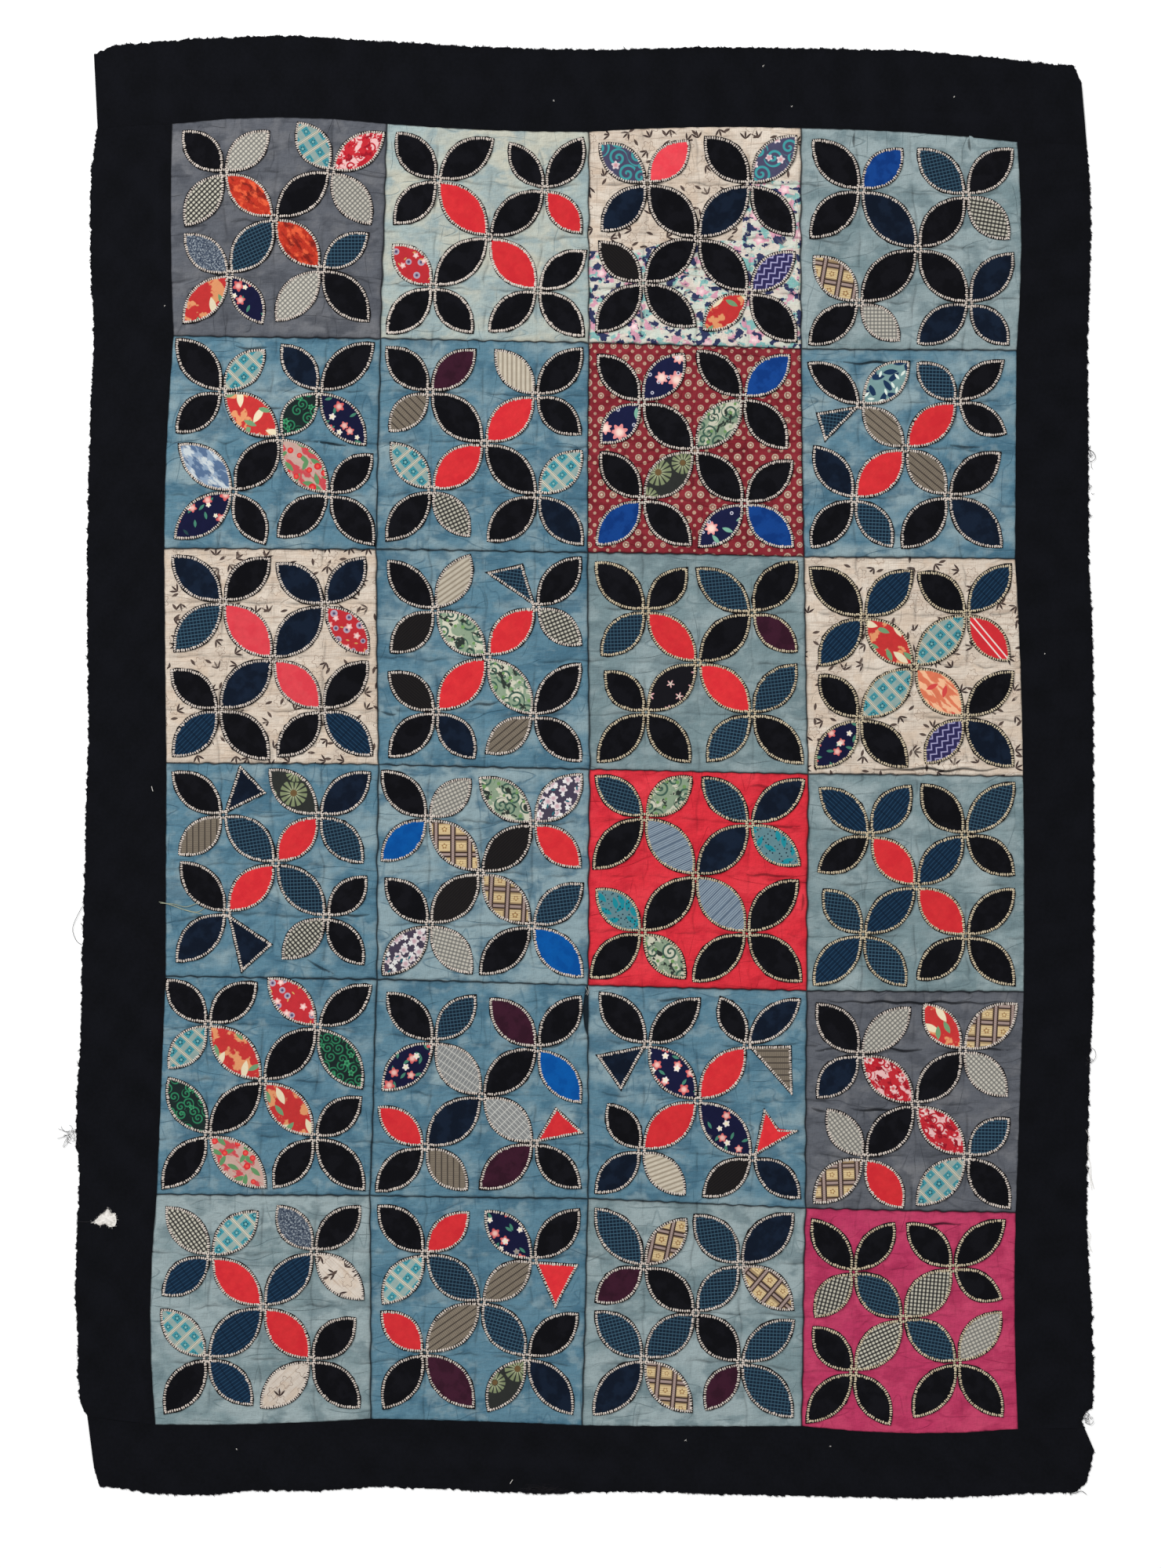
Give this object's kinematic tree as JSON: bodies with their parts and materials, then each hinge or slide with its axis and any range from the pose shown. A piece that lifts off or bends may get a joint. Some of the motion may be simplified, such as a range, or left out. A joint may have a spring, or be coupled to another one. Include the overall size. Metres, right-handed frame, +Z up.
{
  "type": "quilt cover",
  "caption": "Pieced cotton wedding quilt cover lying flat: square blocks with applied, stitch-edged petal flowers inside a plain dark border.",
  "frame": {"origin": "under the middle of the cover's outline, on the surface it lies on", "axes": "+Y along the cover's length towards its top edge, +X to the right, +Z up out of the face"},
  "size_m": [1.3937, 1.9996, 0.0034],
  "materials": {
    "ground_slate": "faded plain cotton",
    "ground_mist": "faded plain cotton",
    "ground_cream": "faded plain cotton",
    "ground_pale": "faded plain cotton",
    "ground_blue": "faded plain cotton",
    "ground_maroon": "faded plain cotton",
    "ground_red": "faded plain cotton",
    "ground_magenta": "faded plain cotton",
    "petal_cloth": "dark cotton with assorted woven and printed scraps",
    "border_cloth": "matt dark homespun cotton"
  },
  "bodies": {
    "root": {"panel_r1c1": "ground_slate", "petals_r1c1": "petal_cloth", "panel_r1c2": "ground_mist", "petals_r1c2": "petal_cloth", "panel_r1c3": "ground_cream", "petals_r1c3": "petal_cloth", "panel_r1c4": "ground_pale", "petals_r1c4": "petal_cloth", "panel_r2c1": "ground_blue", "petals_r2c1": "petal_cloth", "panel_r2c2": "ground_blue", "petals_r2c2": "petal_cloth", "panel_r2c3": "ground_maroon", "petals_r2c3": "petal_cloth", "panel_r2c4": "ground_blue", "petals_r2c4": "petal_cloth", "panel_r3c1": "ground_cream", "petals_r3c1": "petal_cloth", "panel_r3c2": "ground_blue", "petals_r3c2": "petal_cloth", "panel_r3c3": "ground_pale", "petals_r3c3": "petal_cloth", "panel_r3c4": "ground_cream", "petals_r3c4": "petal_cloth", "panel_r4c1": "ground_blue", "petals_r4c1": "petal_cloth", "panel_r4c2": "ground_blue", "petals_r4c2": "petal_cloth", "panel_r4c3": "ground_red", "petals_r4c3": "petal_cloth", "panel_r4c4": "ground_pale", "petals_r4c4": "petal_cloth", "panel_r5c1": "ground_blue", "petals_r5c1": "petal_cloth", "panel_r5c2": "ground_blue", "petals_r5c2": "petal_cloth", "panel_r5c3": "ground_blue", "petals_r5c3": "petal_cloth", "panel_r5c4": "ground_slate", "petals_r5c4": "petal_cloth", "panel_r6c1": "ground_pale", "petals_r6c1": "petal_cloth", "panel_r6c2": "ground_blue", "petals_r6c2": "petal_cloth", "panel_r6c3": "ground_pale", "petals_r6c3": "petal_cloth", "panel_r6c4": "ground_magenta", "petals_r6c4": "petal_cloth", "border_top": "border_cloth", "border_right": "border_cloth", "border_bottom": "border_cloth", "border_left": "border_cloth"}
  },
  "joints": []
}
